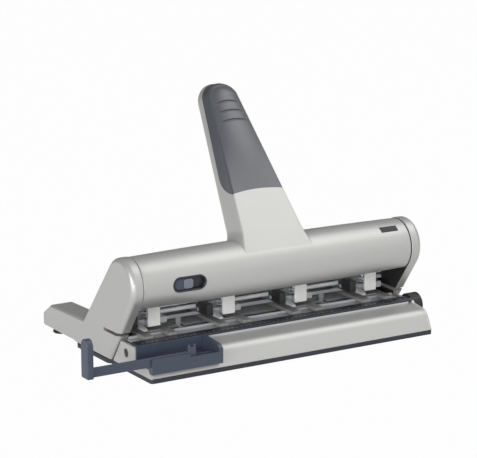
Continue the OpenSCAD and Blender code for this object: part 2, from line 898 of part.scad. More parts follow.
module paper_guide() {
    tab_y = guide_y + guide_t / 2 - tab_w / 2;
    color([0.25, 0.29, 0.36]) {
        block(tab_x + tab_t - 1, tab_x + tab_t + guide_len, guide_y, guide_y + guide_t,
              guide_z, guide_z + guide_h);
        block(tab_x + tab_t + guide_len - latch_len, tab_x + tab_t + guide_len, guide_y, guide_y + guide_t,
              guide_z + guide_h - 0.1, guide_z + guide_h + latch_h);
        along_x(tab_x, tab_x + tab_t) {
            translate([tab_y, guide_z]) square([tab_w, tab_h - tab_w / 2]);
            translate([tab_y + tab_w / 2, guide_z + tab_h - tab_w / 2]) circle(r = tab_w / 2);
        }
    }
}

// Depth stop

module depth_shaft() {
    at = [-depth_y, depth_z];
    color([0.25, 0.25, 0.27]) {
        rod(-bar_half + 1, bar_half + knob_len - 2, at, depth_shaft_r);
        rod(-bar_half + 1, -bar_half + end_plate_t + 2, at, journal_r);
        rod(bar_half - end_plate_t - 2, bar_half, at, journal_r);
    }
}

module depth_knob() {
    at = [-depth_y, depth_z];
    ribs = 20;
    x0 = bar_half + 0.6;
    color([0.13, 0.13, 0.15]) difference() {
        union() {
            rod(x0, x0 + 2, at, knob_r * 0.7);
            rod(x0 + 1.9, x0 + knob_len, at, knob_r);
        }
        rod(-far, x0 + knob_len - 2, at, depth_shaft_r + seat);
        for (k = [0:ribs - 1])
            rod(x0 + 1, x0 + knob_len - 1.5,
                at + (knob_r + 0.5) * [cos(360 * k / ribs), sin(360 * k / ribs)], 0.9);
    }
}

module depth_pinions() {
    m = gear_module;
    root = pinion_r - 1.1 * m;
    color([0.72, 0.6, 0.35])
        for (x = [-pitch, pitch])
            difference() {
                along_x(x - arm_half, x + arm_half)
                    translate([-depth_y, depth_z]) {
                        circle(r = root);
                        for (k = [0:pinion_teeth - 1])
                            rotate(360 * k / pinion_teeth)
                                polygon([
                                    [-0.95 * m, root - 0.3], [0.95 * m, root - 0.3], [0.58 * m, pinion_r],
                                    [0.2 * m, pinion_r + 0.75 * m], [-0.2 * m, pinion_r + 0.75 * m],
                                    [-0.58 * m, pinion_r]
                                ]);
                    }
                rod(-far, far, [-depth_y, depth_z], depth_shaft_r + seat);
            }
}

module depth_racks() {
    m = gear_module;
    teeth = 4;
    front = -depth_y - (teeth + 0.3) * rack_pitch / 2 - 0.8;
    color([0.5, 0.51, 0.53])
        for (x = [-pitch, pitch]) {
            block(x - arm_half, x + arm_half, slot_end, slot_end + stop_t, arm_low, stop_low);
            block(x - arm_half, x + arm_half, front, slot_end + 0.1, arm_low, arm_high);
            along_x(x - arm_half, x + arm_half)
                for (k = [-teeth / 2:teeth / 2 - 1])
                    translate([-depth_y + (k + 0.5) * rack_pitch, rack_line])
                        polygon([
                            [-0.62 * m, 1.2 * m], [0.62 * m, 1.2 * m],
                            [0.25 * m, -0.6 * m], [-0.25 * m, -0.6 * m]
                        ]);
        }
}

module depth_stop() {
    color([0.6, 0.61, 0.63])
        block(-stop_half, stop_half, slot_end, slot_end + stop_t, stop_low, stop_low + stop_h);
}

// Chip drawer

module chip_drawer() {
    y0 = pin_y - 13;
    y1 = pan_back - 3;
    top = drawer_z + drawer_h;
    pull_half = 30;
    color([0.2, 0.22, 0.26]) difference() {
        union() {
            block(-drawer_half, drawer_half, y0, y1, drawer_z, top);
            block(-pull_half, pull_half, y1 - 0.1, y1 + 3, top - 4, top);
        }
        block(-drawer_half + drawer_wall, drawer_half - drawer_wall, y0 + drawer_wall, y1 - drawer_wall,
              drawer_z + drawer_wall, far);
    }
}

base_pan();
cheek_left();
cheek_right();
front_bar();
end_plate_left();
end_plate_right();
table_plate();
ruler_strip();
front_rail();
guide_rod_front();
guide_rod_rear();
index_rail();
pivot_shaft();
shaft_rings();
rear_panel();
rear_feet();
pan_screws();
guide_housing();
lever_casting();
lever_bushes();
presser_rod();
handle_grip();
lock_bezel();
lock_slide();
lock_bolt();
paper_guide();
depth_shaft();
depth_knob();
depth_pinions();
depth_racks();
depth_stop();
chip_drawer();
for (i = [1:heads]) {
    head_body(i);
    die_plate(i);
    index_plate(i);
    punch_pin(i);
    return_spring(i);
    clamp_lever(i);
}
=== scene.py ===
"""Looks of an adjustable hole punch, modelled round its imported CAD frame.

Shapes are written in millimetres in the frame's own axes: +X along the machine, +Y to its back, +Z up.
"""
import json
import math

import bmesh
import bpy
import numpy as np
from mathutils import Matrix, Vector


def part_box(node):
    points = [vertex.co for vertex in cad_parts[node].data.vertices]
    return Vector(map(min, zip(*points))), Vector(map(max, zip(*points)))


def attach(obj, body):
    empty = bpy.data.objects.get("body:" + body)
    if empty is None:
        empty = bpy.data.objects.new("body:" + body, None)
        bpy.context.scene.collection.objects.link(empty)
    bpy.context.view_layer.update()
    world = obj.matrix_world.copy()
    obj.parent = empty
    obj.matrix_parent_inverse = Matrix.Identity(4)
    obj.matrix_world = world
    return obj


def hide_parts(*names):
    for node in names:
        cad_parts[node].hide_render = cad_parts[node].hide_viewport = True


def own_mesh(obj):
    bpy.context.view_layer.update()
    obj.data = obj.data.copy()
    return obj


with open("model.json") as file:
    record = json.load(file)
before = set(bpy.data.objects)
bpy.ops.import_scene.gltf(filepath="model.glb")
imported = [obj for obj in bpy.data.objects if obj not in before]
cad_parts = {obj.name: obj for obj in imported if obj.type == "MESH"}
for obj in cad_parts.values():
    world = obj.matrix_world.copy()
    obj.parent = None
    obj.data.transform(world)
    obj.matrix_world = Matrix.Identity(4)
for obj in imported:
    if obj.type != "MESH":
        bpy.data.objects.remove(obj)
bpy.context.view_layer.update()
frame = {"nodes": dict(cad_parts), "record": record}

# Sizes, from the frame where a node shows them

MM = 0.001
HEADS = (1, 2, 3, 4)
RECORD = frame["record"]
BODY_OF = {node: body for body, nodes in RECORD["behaviour"]["bodies"].items() for node in nodes}
SLOT_OF = {part["node"]: part["material_slot"] for part in RECORD["subparts"]}


def box_mm(node):
    """Lowest and highest corner of a CAD node, in millimetres."""
    low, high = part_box(node)
    return np.array(low) / MM, np.array(high) / MM


SHAFT_LOW, SHAFT_HIGH = box_mm("pivot_shaft")
AXIS_Z = (SHAFT_LOW[2] + SHAFT_HIGH[2]) / 2
LEVER_HALF = box_mm("lever_bushes")[1][0]
CHEEK_IN = box_mm("index_rail")[1][0]
CHEEK_OUT = box_mm("cheek_right")[1][0]
CHEEK_TOP = box_mm("cheek_right")[1][2] - AXIS_Z
TUBE_MID = -box_mm("lever_casting")[0][1]
TUBE_END = TUBE_MID - 1.6
TUBE_IN = 22.2
TUBE_FROM = math.radians(35)
TUBE_TO = math.radians(234)
WEB_T = 4

# Handle, in its own frame: x along the machine, v to the back, w along the handle
LEAN = math.radians(36.5)
HANDLE_LEN = 186
HALF_ROOT = 36.5
HALF_TIP = 20
TIP_W = HANDLE_LEN - HALF_TIP
DRAFT_ROOT = 1.2
DRAFT_TIP = 4.5
FRONT_ROOT = -TUBE_MID + 0.2
FRONT_TIP = -22.5
BACK_ROOT = 2.7
BACK_TIP = -4.5
SHELL_T = 8.8
GRIP_FROM = 62
GRIP_ARCH = 4.5
GRIP_T = 2.5
CROWN = 3
CROWN_FROM = GRIP_FROM
CROWN_FULL = 120


def tube_radius(x):
    return TUBE_MID - (TUBE_MID - TUBE_END) * (x / LEVER_HALF) ** 2


def handle_point(x, v, w):
    """A point of the handle's frame in the machine's frame."""
    return (x, v * math.cos(LEAN) + w * math.sin(LEAN), AXIS_Z - v * math.sin(LEAN) + w * math.cos(LEAN))


def handle_front(w):
    return FRONT_ROOT + (FRONT_TIP - FRONT_ROOT) * w / HANDLE_LEN


def handle_back(w):
    return BACK_ROOT + (BACK_TIP - BACK_ROOT) * w / HANDLE_LEN


def handle_crown(w, share):
    """Bulge of the handle's front at a share of the way from its middle line to its edge."""
    rise = min(max((w - CROWN_FROM) / (CROWN_FULL - CROWN_FROM), 0.0), 1.0)
    return CROWN * rise * rise * (3 - 2 * rise) * (1 - share ** 2)


# Shader maths

class Value:
    """A shader socket that takes part in Python expressions."""

    def __init__(self, nodes, socket):
        self.nodes = nodes
        self.socket = socket

    def maths(self, operation, first, second):
        return self.nodes.add("ShaderNodeMath", {"operation": operation}, {0: first, 1: second})

    def __add__(self, other):
        return self.maths("ADD", self, other)

    def __radd__(self, other):
        return self.maths("ADD", other, self)

    def __mul__(self, other):
        return self.maths("MULTIPLY", self, other)

    def __rmul__(self, other):
        return self.maths("MULTIPLY", other, self)


class NodeSheet:
    """A node tree whose nodes all come from add()."""

    def __init__(self, owner):
        self.owner = owner
        owner.use_nodes = True
        self.tree = owner.node_tree

    def put(self, socket, value):
        if isinstance(value, Value):
            self.tree.links.new(value.socket, socket)
        else:
            socket.default_value = value

    def add(self, kind, settings=None, sockets=None, output=0):
        node = self.tree.nodes.new(kind)
        for key, value in (settings or {}).items():
            setattr(node, key, value)
        for key, value in (sockets or {}).items():
            self.put(node.inputs[key], value)
        return Value(self, node.outputs[output])

    def surface(self, **sockets):
        """Sets sockets of the material's own shader and gives the material back."""
        shader = self.tree.nodes["Principled BSDF"]
        for key, value in sockets.items():
            self.put(shader.inputs[key.replace("_", " ")], value)
        return self.owner

    def place(self, stretch=(1, 1, 1)):
        at = self.add("ShaderNodeTexCoord", output=3)
        return self.add("ShaderNodeMapping", {}, {"Vector": at, "Scale": stretch})

    def grain(self, size, detail=2.0, stretch=(1, 1, 1)):
        """Noise between 0 and 1 whose features are about size millimetres wide."""
        return self.add(
            "ShaderNodeTexNoise", {},
            {"Vector": self.place(stretch), "Scale": 1 / (size * MM), "Detail": detail},
        )

    def blend(self, share, low, high):
        """Colour between low and high by share."""
        return self.add("ShaderNodeMix", {"data_type": "RGBA"}, {0: share, 6: low, 7: high}, output=2)

    def bump(self, height, depth):
        """Normal of a relief of depth millimetres."""
        return self.add("ShaderNodeBump", {}, {"Strength": 1.0, "Distance": depth * MM, "Height": height})


def finish(name):
    return NodeSheet(bpy.data.materials.new(name))


def grey(level, tint=(1, 1, 1)):
    return tuple(level * t for t in tint) + (1,)


# Finishes

WARM = (1.0, 0.995, 0.97)
SLATE = (0.86, 0.95, 1.15)
NAVY = (0.72, 0.93, 1.38)
COOL = (0.98, 1.0, 1.03)


def metallic_paint(name, level, rough, metal):
    """Satin metallic paint with a fine flake."""
    sheet = finish(name)
    flake = sheet.grain(0.5, 1.0)
    cloud = sheet.grain(18)
    return sheet.surface(
        Base_Color=sheet.blend(flake, grey(level * 0.93, WARM), grey(level * 1.07, WARM)),
        Metallic=metal,
        Roughness=rough + 0.06 * cloud + 0.05 * flake,
        Normal=sheet.bump(flake, 0.004),
    )


def moulded(name, level, tint, rough, texture=0.012, gloss=0.5):
    """Moulded plastic or rubber with a fine eroded texture."""
    sheet = finish(name)
    pores = sheet.grain(0.45, 3.0)
    cloud = sheet.grain(14)
    return sheet.surface(
        Base_Color=sheet.blend(cloud, grey(level * 0.9, tint), grey(level * 1.12, tint)),
        Roughness=rough + 0.12 * pores,
        Specular_IOR_Level=gloss,
        Normal=sheet.bump(pores, texture),
    )


def drawn_metal(name, level, tint, rough, stretch, metal=1.0):
    """Bare or plated metal with fine marks of its making along one axis."""
    sheet = finish(name)
    marks = sheet.grain(1.2, 3.0, stretch)
    return sheet.surface(
        Base_Color=sheet.blend(marks, grey(level * 0.9, tint), grey(level * 1.08, tint)),
        Metallic=metal,
        Roughness=rough + 0.12 * marks,
        Normal=sheet.bump(marks, 0.003),
    )


ALONG_X = (0.06, 1, 1)
FINISHES = {
    "silver_paint": metallic_paint("silver_paint", 0.5, 0.38, 0.5),
    "light_metal": metallic_paint("light_metal", 0.55, 0.42, 0.3),
    "pan_plastic": moulded("pan_plastic", 0.022, NAVY, 0.5),
    "blue_plastic": moulded("blue_plastic", 0.07, NAVY, 0.36),
    "dark_plastic": moulded("dark_plastic", 0.016, NAVY, 0.3, 0.004),
    "table_steel": drawn_metal("table_steel", 0.56, COOL, 0.42, ALONG_X, 0.25),
    "bright_steel": drawn_metal("bright_steel", 0.8, COOL, 0.1, ALONG_X),
    "plain_steel": drawn_metal("plain_steel", 0.66, COOL, 0.3, ALONG_X, 0.4),
    "brass": drawn_metal("brass", 0.62, (1.1, 0.86, 0.5), 0.25, ALONG_X),
    "black_plastic": moulded("black_plastic", 0.012, COOL, 0.36),
    "grip_rubber": moulded("grip_rubber", 0.066, SLATE, 0.3, 0.006, 0.95),
    "foot_rubber": moulded("foot_rubber", 0.012, COOL, 0.7),
    "head_casting": drawn_metal("head_casting", 0.56, COOL, 0.4, (1, 1, 1), 0.3),
    "white_plastic": moulded("white_plastic", 0.86, WARM, 0.3, 0.004),
    "spring_steel": drawn_metal("spring_steel", 0.92, COOL, 0.3, (1, 1, 1), 0.3),
}
# Near-black for the cheeks' inner faces: painted shade of the dark inside at the machine's ends, not the
# paint's own colour.
INNER_PAINTED_SHADE = moulded("inner_painted_shade", 0.014, COOL, 0.5)
# Lighter blue-grey for the lock's thumb piece: a painted highlight where its raised ridge catches the
# light, on what is the slide's blue plastic.
THUMB_PAINTED_HIGHLIGHT = moulded("thumb_painted_highlight", 0.2, SLATE, 0.35)
PLATE_DARK = moulded("plate_dark", 0.03, COOL, 0.5, 0.003)
SCALE_INK = moulded("scale_ink", 0.5, COOL, 0.5, 0.001)
# Near-white, barely metallic finish for the index rail and the front guide rod: a painted reflection
# standing for the bright band on their polished metal.
RAIL_PAINTED_REFLECTION = drawn_metal("rail_painted_reflection", 0.95, COOL, 0.3, ALONG_X, 0.12)
DIE_STEEL = drawn_metal("die_steel", 0.34, WARM, 0.4, ALONG_X, 0.45)
OTHER_LOOK = {
    "depth_shaft": FINISHES["black_plastic"],
    **{f"die_plate_{i}": DIE_STEEL for i in HEADS},
    # The index rail and the front guide rod wear the painted reflection in place of bare bright steel.
    "index_rail": RAIL_PAINTED_REFLECTION,
    "guide_rod_front": RAIL_PAINTED_REFLECTION,
}


# Mesh tools

WELD = 0.0005
SHARP_FROM = math.radians(30)
EDGE_STEPS = 2


def mesh_object(name, points, faces):
    mesh = bpy.data.meshes.new(name)
    mesh.from_pydata([tuple(MM * float(c) for c in p) for p in points], [], faces)
    edit = bmesh.new()
    edit.from_mesh(mesh)
    bmesh.ops.remove_doubles(edit, verts=edit.verts, dist=WELD * MM)
    bmesh.ops.recalc_face_normals(edit, faces=edit.faces)
    edit.to_mesh(mesh)
    edit.free()
    made = bpy.data.objects.new(name, mesh)
    bpy.context.scene.collection.objects.link(made)
    return made


def loft(name, rings, joined=False, folded=False):
    """Closed solid over rings of equal length, with a face at each end, or joined end to end.

    A folded first ring lies on a line, where its two halves meet, and needs no face.
    """
    count = len(rings[0])
    points = [p for ring in rings for p in ring]
    total = len(points)
    faces = []
    for level in range(len(rings) if joined else len(rings) - 1):
        for k in range(count):
            a = level * count + k
            b = level * count + (k + 1) % count
            faces.append((a, b, (b + count) % total, (a + count) % total))
    if not joined:
        faces.append(tuple(range(total - count, total)))
        if not folded:
            faces.append(tuple(range(count)))
    return mesh_object(name, points, faces)


def bake(piece):
    """Puts the piece's modifiers into its mesh."""
    graph = bpy.context.evaluated_depsgraph_get()
    mesh = bpy.data.meshes.new_from_object(piece.evaluated_get(graph))
    piece.modifiers.clear()
    piece.data = mesh


def shape(piece, operation, tool):
    """Changes the piece by a boolean with the tool, which is used up."""
    change = piece.modifiers.new("shape", "BOOLEAN")
    change.operation = operation
    change.solver = "EXACT"
    change.object = tool
    bake(piece)
    bpy.data.objects.remove(tool)


def soften(piece, width):
    """Rounds the piece's sharp edges to width millimetres."""
    edit = bmesh.new()
    edit.from_mesh(piece.data)
    bmesh.ops.remove_doubles(edit, verts=edit.verts, dist=0.002 * MM)
    bmesh.ops.dissolve_limit(
        edit, angle_limit=math.radians(0.6), verts=edit.verts, edges=edit.edges,
    )
    sharp = [
        edge for edge in edit.edges
        if len(edge.link_faces) == 2 and edge.calc_face_angle() > SHARP_FROM
    ]
    bmesh.ops.bevel(
        edit, geom=sharp, offset=width * MM, offset_type="OFFSET", segments=EDGE_STEPS, profile=0.5,
        affect="EDGES", clamp_overlap=True,
    )
    edit.to_mesh(piece.data)
    edit.free()


def dress(piece, body, slot, *nodes, look=None, smooth=35):
    """Shades a finished piece, gives it its material and sets it on its body in place of the nodes."""
    piece.data.shade_smooth()
    piece.data.set_sharp_from_angle(angle=math.radians(smooth))
    weigh = piece.modifiers.new("even_shading", "WEIGHTED_NORMAL")
    weigh.keep_sharp = True
    piece.data.materials.clear()
    piece.data.materials.append(look or FINISHES[slot])
    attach(piece, body)
    if nodes:
        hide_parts(*nodes)
    return piece


def softened_node(node, width):
    """The CAD node with rounded edges."""
    piece = bpy.data.objects.new(f"{node}_shown", frame["nodes"][node].data.copy())
    bpy.context.scene.collection.objects.link(piece)
    soften(piece, width)
    dress(piece, BODY_OF[node], SLOT_OF[node], node, look=OTHER_LOOK.get(node))


def hull_outline(discs, steps):
    """Outline round discs (y, z, radius) that are listed counter-clockwise."""
    leave = []
    for k, (y, z, r) in enumerate(discs):
        next_y, next_z, next_r = discs[(k + 1) % len(discs)]
        run = math.hypot(next_y - y, next_z - z)
        leave.append(math.atan2(next_z - z, next_y - y) - math.acos((r - next_r) / run))
    outline = []
    for k, (y, z, r) in enumerate(discs):
        start = leave[k - 1]
        turn = (leave[k] - start) % (2 * math.pi)
        for step in range(steps + 1):
            a = start + turn * step / steps
            outline.append((y + r * math.cos(a), z + r * math.sin(a)))
    return outline


def rounded_prism(name, discs, x_in, x_out, inner_round, outer_round, steps=10):
    """Prism along X round discs, with both its edges rounded."""
    way = 1 if x_out > x_in else -1
    quarter = np.linspace(0, math.pi / 2, 9)
    levels = []
    for a in quarter:
        levels.append((x_in + way * inner_round * (1 - math.cos(a)), inner_round * (1 - math.sin(a))))
    for a in quarter:
        levels.append((x_out - way * outer_round * (1 - math.sin(a)), outer_round * (1 - math.cos(a))))
    rings = []
    for x, inset in levels:
        smaller = [(y, z, max(r - inset, 0.2 * r)) for y, z, r in discs]
        rings.append([(x, y, z) for y, z in hull_outline(smaller, steps)])
    return loft(name, rings)


def bar_along_x(name, x0, x1, outline):
    """Prism along X of an outline of (y, z), used as a tool or a plain bar before it is softened."""
    return loft(name, [[(x, y, z) for y, z in outline] for x in (x0, x1)])


def rectangle(y0, y1, z0, z1):
    return [(y0, z0), (y1, z0), (y1, z1), (y0, z1)]


def pad(name, x0, x1, y0, y1, z0, z1, r):
    """Upright block whose corners and top edge are rounded to r."""
    quarter = np.linspace(0, math.pi / 2, 5)
    levels = [(z0, 0.0)]
    levels += [(z1 - r * (1 - math.sin(a)), r * (1 - math.cos(a))) for a in quarter]
    rings = []
    for z, inset in levels:
        bend = max(r - inset, 0.15)
        ring = []
        for k, (x, y) in enumerate(((x1, y0), (x1, y1), (x0, y1), (x0, y0))):
            x_mid = x - math.copysign(inset + bend, x - (x0 + x1) / 2)
            y_mid = y - math.copysign(inset + bend, y - (y0 + y1) / 2)
            for a in quarter + (k - 1) * math.pi / 2:
                ring.append((x_mid + bend * math.cos(a), y_mid + bend * math.sin(a), z))
        rings.append(ring)
    return loft(name, rings)


def turned(name, profile, centre, around=72):
    """Ring turned about an axis along X through centre (y, z), from a closed profile of (x, radius)."""
    rings = []
    for k in range(around):
        a = 2 * math.pi * k / around
        rings.append([
            (x, centre[0] + r * math.cos(a), centre[1] + r * math.sin(a)) for x, r in profile
        ])
    return loft(name, rings, joined=True)


# Cheeks with their tails

CHEEK_DISCS = [(25, 7, 3), (90, 7, 3), (0, AXIS_Z, CHEEK_TOP)]
TAIL_DISCS = [(52, 9, 3), (154, 9, 3), (154, 17, 3), (140, 26.5, 3), (52, 29, 3)]
CHEEK_INNER_ROUND = 0.6
CHEEK_OUTER_ROUND = 5.0
TAIL_ROUND = 2.5
TAIL_W = 25
TAIL_SINK = 0.06
TAIL_BITE = 4
TAIL_ROOT = 76
SLIT_FROM = -40
SLIT_END = 31
SLIT_LOW = 31.4
SLIT_HIGH = 34.5


def cheek(side, node):
    """End cheek with its tail and the slit for the paper, near-black on its inner face as painted shade."""
    inner = side * CHEEK_IN
    outer = side * CHEEK_OUT
    plate = rounded_prism(
        f"{node}_shown", CHEEK_DISCS, inner, outer, CHEEK_INNER_ROUND, CHEEK_OUTER_ROUND, 16,
    )
    tail = rounded_prism(
        "tail", TAIL_DISCS, outer - side * TAIL_W, outer - side * TAIL_SINK, TAIL_ROUND, TAIL_ROUND,
    )
    inside = rectangle(0, TAIL_ROOT, 0, 2 * AXIS_Z)
    shape(tail, "DIFFERENCE", bar_along_x("tail_clear", inner + side * TAIL_BITE, 0, inside))
    shape(plate, "UNION", tail)
    paper_slit = rectangle(SLIT_FROM, SLIT_END, SLIT_LOW, SLIT_HIGH)
    shape(plate, "DIFFERENCE", bar_along_x("slit", inner - side, outer + side, paper_slit))
    dress(plate, "base", "silver_paint", node)
    # Faces turned inward get the near-black material: painted shade.
    plate.data.materials.append(INNER_PAINTED_SHADE)
    for face in plate.data.polygons:
        if side * face.normal.x < -0.99 and side * face.center.x < (CHEEK_IN + 1) * MM:
            face.material_index = 1


# Lever: tube, handle and grip

LIP_BULGE = 1.3
FLARE = 2.6
FLARE_REACH = 9
FRONT_ROUND = 1.6
FRONT_ROUND_AT_TIP = 5.0
BACK_ROUND = 3.0
BACK_ROUND_AT_TIP = 5.0
GRIP_CORNER = 22
GRIP_TURN = 9
GRIP_SEAM = 0.15
GROOVES = 3
GROOVE_TOP = 27
GROOVE_STEP = 10
GROOVE_R = 1.25
GROOVE_DROP = 1.8
HEAD_PITCH = 80
WEB_HUB = 7.1
WEB_EDGE = 0.5


def tube_ring(x, shrink):
    """Cross-section of the open tube: outer arc, rear lip, inner arc and front lip."""
    outer = tube_radius(x) - shrink
    middle = (outer + TUBE_IN) / 2
    half = (outer - TUBE_IN) / 2
    first = TUBE_FROM + LIP_BULGE / middle
    last = TUBE_TO - LIP_BULGE / middle
    arc = np.linspace(first, last, 90)
    lip = np.linspace(0, math.pi, 9)[1:-1]
    polar = [(outer, a) for a in arc]
    polar += [(middle + half * math.cos(b), last + LIP_BULGE * math.sin(b) / middle) for b in lip]
    polar += [(TUBE_IN, a) for a in arc[::-1]]
    polar += [(middle - half * math.cos(b), first - LIP_BULGE * math.sin(b) / middle) for b in lip]
    return [(x, r * math.cos(a), AXIS_Z + r * math.sin(a)) for r, a in polar]


def tube_shell():
    edge = [(0.0, 0.9), (0.3, 0.35), (0.9, 0.0)]
    stations = [(-LEVER_HALF + d, s) for d, s in edge]
    stations += [(x, 0.0) for x in np.linspace(-LEVER_HALF, LEVER_HALF, 33)[1:-1]]
    stations += [(LEVER_HALF - d, s) for d, s in edge[::-1]]
    return loft("lever_shown", [tube_ring(x, s) for x, s in stations])


def handle_solid(name, shrink=0.0, flare=FLARE, crowned=True):
    """Plate with a round end, sides that draw in to the front and rounded edges.

    All its faces move in by shrink, and a crowned one bulges in front.
    """
    rises = np.concatenate([np.linspace(0, 0.3, 19), np.linspace(0.36, 1, 9)])
    bends = np.linspace(0, 1, 29)[1:-1]
    quarter = np.linspace(0, math.pi / 2, 5)
    levels = []
    if crowned:
        levels += [("crown", 1, share) for share in (0.0, 0.2, 0.4, 0.6, 0.8, 0.93)]
    levels += [("front", 1 - math.sin(a), 1 - math.cos(a)) for a in quarter]
    levels += [("side", 0, share) for share in np.linspace(0, 1, 9)[1:-1]]
    levels += [("back", 1 - math.sin(a), 1 - math.cos(a)) for a in quarter[::-1]]
    spots = [(1, s, None) for s in rises]
    spots += [(0, 0, b) for b in bends]
    spots += [(-1, s, None) for s in rises[::-1]]
    rings = []
    for kind, inset_share, depth_share in levels:
        ring = []
        for side, rise, bend in spots:
            nearness = math.sin(math.pi * bend) if bend is not None else 0.0
            front_round = FRONT_ROUND + (FRONT_ROUND_AT_TIP - FRONT_ROUND) * nearness
            back_round = BACK_ROUND + (BACK_ROUND_AT_TIP - BACK_ROUND) * nearness
            share = {"crown": 0.05, "front": 0.05, "side": depth_share, "back": 0.95}[kind]
            root = HALF_ROOT - DRAFT_ROOT * (1 - share) - shrink
            tip = HALF_TIP - DRAFT_TIP * (1 - share) - shrink
            taper = math.asin((root - tip) / TIP_W)
            angle = taper if side else taper + (math.pi - 2 * taper) * bend
            across = math.cos(angle)
            along = math.sin(angle)
            x = tip * across
            w = TIP_W + tip * along
            if side:
                x = root + (x - root) * rise
                w = w * rise
            inset = inset_share * (back_round if kind == "back" else front_round)
            x = (x - inset * across) * (side if side else 1)
            w = w - inset * along
            if kind == "crown":
                x = x * depth_share
                w = w + min(TIP_W - w, 0.0) * (1 - depth_share)
            front = handle_front(w) + shrink
            back = handle_back(w) - shrink
            if kind == "crown":
                v = front - handle_crown(w, depth_share)
            elif kind == "front":
                v = front + depth_share * front_round
            elif kind == "back":
                v = back - depth_share * back_round
            else:
                v = front + front_round + depth_share * (back - back_round - front - front_round)
            gap = max(math.hypot(v, w) - TUBE_MID, 0.0)
            x += math.copysign(flare * max(1 - gap / FLARE_REACH, 0.0) ** 2, x)
            ring.append(handle_point(x, v, w))
        rings.append(ring)
    return loft(name, rings, folded=crowned)


def grip_space(name, seam):
    """Space of the grip: in front of the casting's shell, above an edge that rises in the middle."""
    top = 1.5 * HANDLE_LEN
    fore = -60
    rings = []
    for x in np.linspace(-1.5 * HALF_ROOT, 1.5 * HALF_ROOT, 41):
        low = GRIP_FROM + GRIP_ARCH * max(1 - (x / HALF_ROOT) ** 2, 0.0) + seam
        edge = handle_back(low) - SHELL_T - seam
        high_edge = handle_back(low + GRIP_CORNER) - SHELL_T - seam
        side_view = [(fore, low)]
        for t in np.linspace(0, 1, 11):
            first = (1 - t) ** 2
            middle = 2 * t * (1 - t)
            last = t * t
            v = first * (handle_front(low) + 1) + middle * (edge - 1.5) + last * high_edge
            w = first * low + middle * (low + GRIP_TURN) + last * (low + GRIP_CORNER)
            side_view.append((v, w))
        side_view += [(handle_back(top) - SHELL_T - seam, top), (fore, top)]
        rings.append([handle_point(x, v, w) for v, w in side_view])
    return loft(name, rings)


def groove_tool(w_mid):
    """Round groove across the grip's front whose ends run lower and fade out."""
    root = HALF_ROOT - DRAFT_ROOT
    half = root + (HALF_TIP - DRAFT_TIP - root) * w_mid / TIP_W
    reach = 0.8 * half
    rings = []
    for x in np.linspace(-reach, reach, 25):
        share = abs(x) / reach
        w = w_mid - GROOVE_DROP * share ** 2
        r = GROOVE_R * max(1 - share ** 6, 0.08)
        v = handle_front(w) - handle_crown(w, abs(x) / half) + 0.2
        ring = []
        for b in np.linspace(0, 2 * math.pi, 13)[:-1]:
            ring.append(handle_point(x, v + r * math.cos(b), w + r * math.sin(b)))
        rings.append(ring)
    return loft("groove", rings)


def lever():
    """Tube with the handle's arm and core, cut for the lock, and the webs in the tube."""
    body = tube_shell()
    arm = handle_solid("arm", crowned=False)
    shape(arm, "DIFFERENCE", grip_space("grip_room", 0.0))
    shape(arm, "UNION", handle_solid("core", GRIP_T, 0.0))
    reach = 60
    room = TUBE_IN + 1.6
    hollow = [(-reach, 1), (reach, 1), (reach, room), (-reach, room)]
    shape(arm, "DIFFERENCE", turned("hollow", hollow, (0, AXIS_Z), 96))
    shape(body, "UNION", arm)
    shape(body, "DIFFERENCE", tube_patch("window", [(LOCK_EDGE, 8), (LOCK_EDGE, -4)]))
    dress(body, "lever", "silver_paint", "lever_casting")
    half = WEB_T / 2
    rim = TUBE_IN + 0.1
    for k, x in enumerate((-LEVER_HALF + half, -HEAD_PITCH, 0, HEAD_PITCH, LEVER_HALF - half), 1):
        profile = [
            (x - half, WEB_HUB),
            (x + half, WEB_HUB),
            (x + half, rim - WEB_EDGE),
            (x + half - WEB_EDGE, rim),
            (x - half + WEB_EDGE, rim),
            (x - half, rim - WEB_EDGE),
        ]
        dress(turned(f"tube_web_{k}", profile, (0, AXIS_Z)), "lever", "silver_paint")


def grip():
    """Crowned cover round the handle's core, with grooves across its front."""
    cover = handle_solid("grip_shown")
    shape(cover, "INTERSECT", grip_space("grip_zone", GRIP_SEAM))
    shape(cover, "DIFFERENCE", handle_solid("core_room", GRIP_T - 0.05, 0.0))
    for k in range(GROOVES):
        shape(cover, "DIFFERENCE", groove_tool(HANDLE_LEN - GROOVE_TOP - GROOVE_STEP * k))
    dress(cover, "lever", "grip_rubber", "handle_grip", smooth=40)


# Lock and bare plate on the tube

BEZEL_LOW, BEZEL_HIGH = box_mm("lock_bezel")
LOCK_X = (BEZEL_LOW[0] + BEZEL_HIGH[0]) / 2
LOCK_LEN = BEZEL_HIGH[0] - BEZEL_LOW[0]
LOCK_H = BEZEL_HIGH[2] - BEZEL_LOW[2]
LOCK_RIM = 1.8
LOCK_FLOOR = 3.6
THUMB_LEN = 9.4
THUMB_GAP = 0.6
OVAL_STEPS = 7


def oval(x_mid, length, height, r=None):
    """Outline (x, z) of a slot at the lever's axis, with round ends or corners of radius r."""
    r = r or height / 2
    reach = length / 2 - r
    rise = height / 2 - r
    quarter = np.linspace(0, math.pi / 2, OVAL_STEPS)
    outline = []
    for k, (x_way, z_way) in enumerate(((1, -1), (1, 1), (-1, 1), (-1, -1))):
        for a in quarter + (k - 1) * math.pi / 2:
            x = x_mid + x_way * reach + r * math.cos(a)
            z = AXIS_Z + z_way * rise + r * math.sin(a)
            outline.append((x, z))
    return outline


def tube_patch(name, levels):
    """Solid on the tube's front over outlines (x, z), each with its depth below the tube's skin."""
    rings = []
    for outline, sink in levels:
        ring = []
        for x, z in outline:
            y = -math.sqrt((tube_radius(x) - sink) ** 2 - (z - AXIS_Z) ** 2)
            ring.append((x, y, z))
        rings.append(ring)
    return loft(name, rings)


LOCK_EDGE = oval(LOCK_X, LOCK_LEN, LOCK_H)


